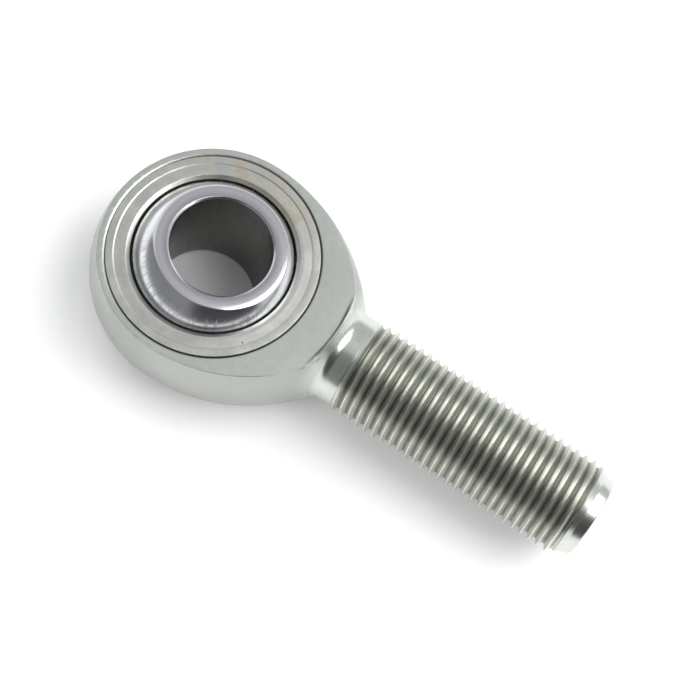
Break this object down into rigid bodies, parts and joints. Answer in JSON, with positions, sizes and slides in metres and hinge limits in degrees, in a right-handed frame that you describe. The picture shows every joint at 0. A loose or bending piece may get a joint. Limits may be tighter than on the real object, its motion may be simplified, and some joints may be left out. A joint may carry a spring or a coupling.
{
  "type": "rod end bearing",
  "caption": "Male rod end: a threaded shank with a flat-sided round eye, holding a chromed ball with a through bore that swivels and tilts in a lined race.",
  "frame": {"origin": "centre of the flat end of the threaded shank; the centre of the ball is 70 mm from it, at x = -0.070", "axes": "+X along the shank, out of its threaded end; +Z along the axis of the head's bore, square to the head's flat faces; +Y across the head"},
  "size_m": [0.0892, 0.0384, 0.0222],
  "materials": {
    "zinc_plate": "satin clear zinc plate over turned steel",
    "race_steel": "bare machined steel, dull, with faint stains",
    "ptfe_liner": "matt dark woven PTFE liner",
    "hard_chrome": "polished hard chrome"
  },
  "bodies": {
    "housing": {"rod_end_body": "zinc_plate", "outer_race": "race_steel"},
    "liner": {"ptfe_liner": "ptfe_liner"},
    "ball": {"ball": "hard_chrome"}
  },
  "joints": [
    {"name": "ball_swivel", "type": "hinge", "parent": "housing", "child": "liner", "pos_m": [-0.07, 0, 0], "axis": [0, 0, 1], "continuous": true},
    {"name": "ball_tilt", "type": "hinge", "parent": "liner", "child": "ball", "pos_m": [-0.07, 0, 0], "axis": [-0.7547, 0.6561, 0], "range_deg": [-21.1, 6.9]}
  ]
}
